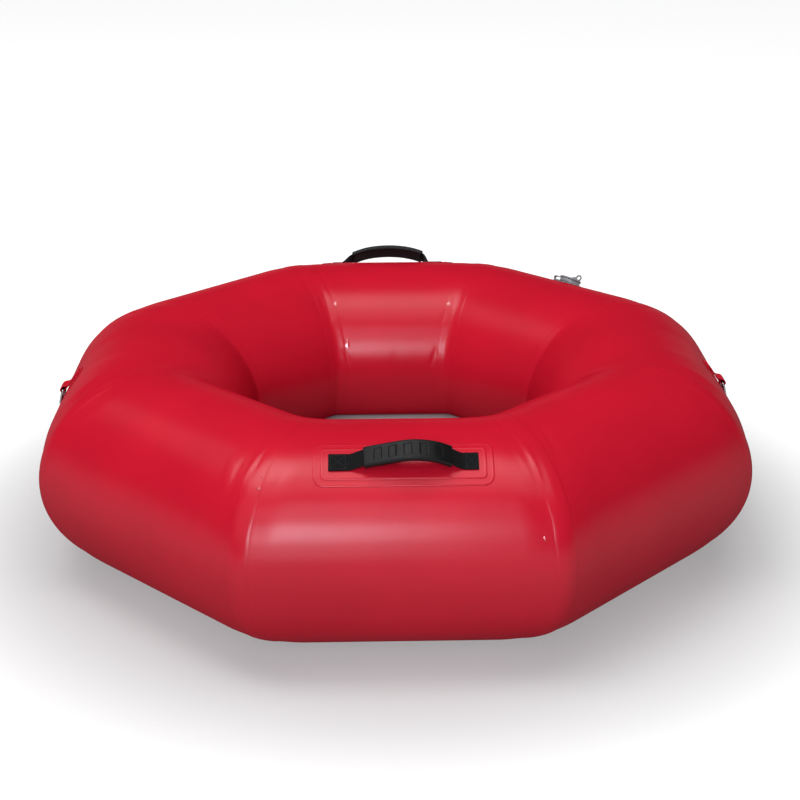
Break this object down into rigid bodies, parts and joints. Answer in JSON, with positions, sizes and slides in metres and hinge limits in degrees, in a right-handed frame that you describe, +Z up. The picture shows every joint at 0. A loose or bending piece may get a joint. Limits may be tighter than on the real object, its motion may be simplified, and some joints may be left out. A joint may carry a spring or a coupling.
{
  "type": "river tube",
  "caption": "Inflated octagonal ring of mitred straight tube panels with a sling floor, webbing handles, lashing rings and an air valve, to sit in on a river.",
  "frame": {"origin": "on the ground under the middle of the ring", "axes": "+Z up out of the seat well; the front handle is on the -Y side and the air valve on the back right panel, between +X and +Y"},
  "size_m": [1.0014, 1.0014, 0.3049],
  "materials": {
    "red_pvc": "smooth coated fabric, satin gloss",
    "red_tape": "smooth coated fabric tape, satin gloss",
    "grey_pvc": "coated fabric, satin",
    "grey_plastic": "moulded, satin",
    "black_webbing": "woven webbing",
    "black_rubber": "moulded, matte",
    "stainless_steel": "polished stainless wire"
  },
  "bodies": {
    "root": {"panel_front": "red_pvc", "panel_front_right": "red_pvc", "panel_right": "red_pvc", "panel_back_right": "red_pvc", "panel_back": "red_pvc", "panel_back_left": "red_pvc", "panel_left": "red_pvc", "panel_front_left": "red_pvc", "seam_tape_1": "red_tape", "seam_tape_2": "red_tape", "seam_tape_3": "red_tape", "seam_tape_4": "red_tape", "seam_tape_5": "red_tape", "seam_tape_6": "red_tape", "seam_tape_7": "red_tape", "seam_tape_8": "red_tape", "floor_sheet": "grey_pvc", "floor_strip_1": "grey_pvc", "floor_strip_2": "grey_pvc", "floor_strip_3": "grey_pvc", "floor_strip_4": "grey_pvc", "floor_strip_5": "grey_pvc", "floor_strip_6": "grey_pvc", "floor_strip_7": "grey_pvc", "floor_strip_8": "grey_pvc", "drain_eyelet_1": "stainless_steel", "drain_eyelet_2": "stainless_steel", "drain_eyelet_3": "stainless_steel", "drain_eyelet_4": "stainless_steel", "front_handle_patch": "red_pvc", "front_handle_pad": "red_pvc", "front_strap_first_end": "black_webbing", "front_strap_second_end": "black_webbing", "front_strap_span": "black_webbing", "back_handle_patch": "red_pvc", "back_handle_pad": "red_pvc", "back_strap_first_end": "black_webbing", "back_strap_second_end": "black_webbing", "back_strap_span": "black_webbing", "right_ring_patch": "red_pvc", "right_ring_loop": "red_tape", "left_ring_patch": "red_pvc", "left_ring_loop": "red_tape", "valve_pad": "grey_pvc", "valve_gasket": "black_rubber", "valve_body": "grey_plastic", "valve_spider": "grey_plastic", "valve_spring": "stainless_steel", "valve_nut": "grey_plastic", "valve_tether": "grey_plastic"},
    "front_handle": {"front_grip": "black_rubber"},
    "back_handle": {"back_grip": "black_rubber"},
    "right_ring": {"right_lashing_ring": "stainless_steel"},
    "left_ring": {"left_lashing_ring": "stainless_steel"},
    "cap": {"valve_cap": "grey_plastic"},
    "stem": {"valve_stem": "grey_plastic", "valve_seal": "black_rubber"}
  },
  "joints": [
    {"name": "front_handle_swing", "type": "hinge", "parent": "root", "child": "front_handle", "pos_m": [0.003, -0.4293, 0.27443], "axis": [1, 0, 0], "range_deg": [-25, 25], "stiffness_Nm_per_rad": 0.1, "deforming": ["front_strap_span"]},
    {"name": "back_handle_swing", "type": "hinge", "parent": "root", "child": "back_handle", "pos_m": [-0.003, 0.4293, 0.27443], "axis": [-1, 0, 0], "range_deg": [-43, 7], "stiffness_Nm_per_rad": 0.1, "deforming": ["back_strap_span"]},
    {"name": "right_ring_swing", "type": "hinge", "parent": "root", "child": "right_ring", "pos_m": [0.49088, 0, 0.21498], "axis": [0, -1, 0], "range_deg": [0, 140]},
    {"name": "left_ring_swing", "type": "hinge", "parent": "root", "child": "left_ring", "pos_m": [-0.49088, 0, 0.21498], "axis": [0, 1, 0], "range_deg": [0, 140]},
    {"name": "valve_cap_pull", "type": "slide", "parent": "root", "child": "cap", "axis": [0.3536, 0.3536, 0.866], "range_m": [0, 0.014], "deforming": ["valve_tether"]},
    {"name": "valve_stem_press", "type": "slide", "parent": "root", "child": "stem", "axis": [-0.3536, -0.3536, -0.866], "range_m": [0, 0.004], "stiffness_N_per_m": 300, "springref_m": -0.004, "deforming": ["valve_spring"]}
  ]
}
